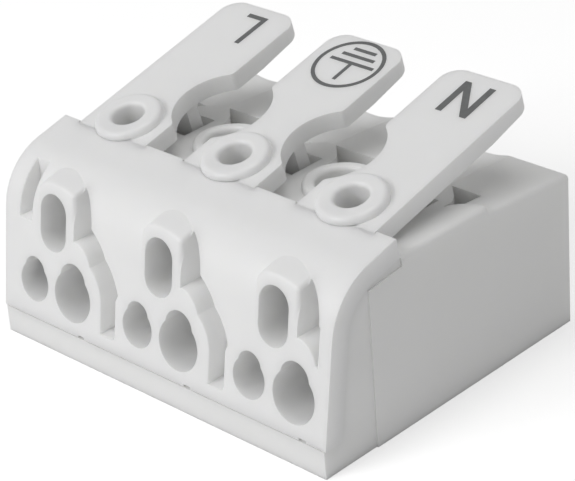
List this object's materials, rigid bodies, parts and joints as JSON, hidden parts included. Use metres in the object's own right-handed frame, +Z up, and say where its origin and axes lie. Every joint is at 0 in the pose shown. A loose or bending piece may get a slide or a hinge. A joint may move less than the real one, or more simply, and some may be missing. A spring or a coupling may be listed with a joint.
{
  "type": "lever wire connector",
  "caption": "White push-in terminal block with sprung release levers, keyhole wire entries in a leaning front and screw columns between the levers.",
  "frame": {"origin": "middle of the footprint, on the underside", "axes": "+X along the row of poles from line to neutral, +Y from the supply side to the lamp side, +Z up"},
  "size_m": [0.0296, 0.0238, 0.017],
  "materials": {
    "housing_plastic": "satin white polyamide",
    "plate_plastic": "satin white polyamide",
    "cover_plastic": "satin white polyamide",
    "lever_plastic": "satin white polyamide",
    "tinned_copper": "copper strip with a dull tin coat",
    "spring_steel": "rolled spring steel"
  },
  "bodies": {
    "housing": {"base_housing": "housing_plastic", "bottom_plate": "plate_plastic", "front_cover": "cover_plastic", "line_contact_bar": "tinned_copper", "line_small_entry_spring": "spring_steel", "line_large_entry_spring": "spring_steel", "line_upper_entry_spring": "spring_steel", "line_lamp_spring": "spring_steel", "earth_contact_bar": "tinned_copper", "earth_small_entry_spring": "spring_steel", "earth_large_entry_spring": "spring_steel", "earth_upper_entry_spring": "spring_steel", "earth_lamp_spring": "spring_steel", "neutral_contact_bar": "tinned_copper", "neutral_small_entry_spring": "spring_steel", "neutral_large_entry_spring": "spring_steel", "neutral_upper_entry_spring": "spring_steel", "neutral_lamp_spring": "spring_steel"},
    "line_lever": {"line_lever": "lever_plastic"},
    "earth_lever": {"earth_lever": "lever_plastic"},
    "neutral_lever": {"neutral_lever": "lever_plastic"}
  },
  "joints": [
    {"name": "line_lever_hinge", "type": "hinge", "parent": "housing", "child": "line_lever", "pos_m": [-0.01, -0.00454, 0.01291], "axis": [1, 0, 0], "range_deg": [-13.8, 0], "stiffness_Nm_per_rad": 0.12, "springref_deg": 2.86, "deforming": ["line_lamp_spring"]},
    {"name": "earth_lever_hinge", "type": "hinge", "parent": "housing", "child": "earth_lever", "pos_m": [0, -0.00454, 0.01291], "axis": [1, 0, 0], "range_deg": [-13.8, 0], "stiffness_Nm_per_rad": 0.12, "springref_deg": 2.86, "deforming": ["earth_lamp_spring"]},
    {"name": "neutral_lever_hinge", "type": "hinge", "parent": "housing", "child": "neutral_lever", "pos_m": [0.01, -0.00454, 0.01291], "axis": [1, 0, 0], "range_deg": [-13.8, 0], "stiffness_Nm_per_rad": 0.12, "springref_deg": 2.86, "deforming": ["neutral_lamp_spring"]}
  ]
}
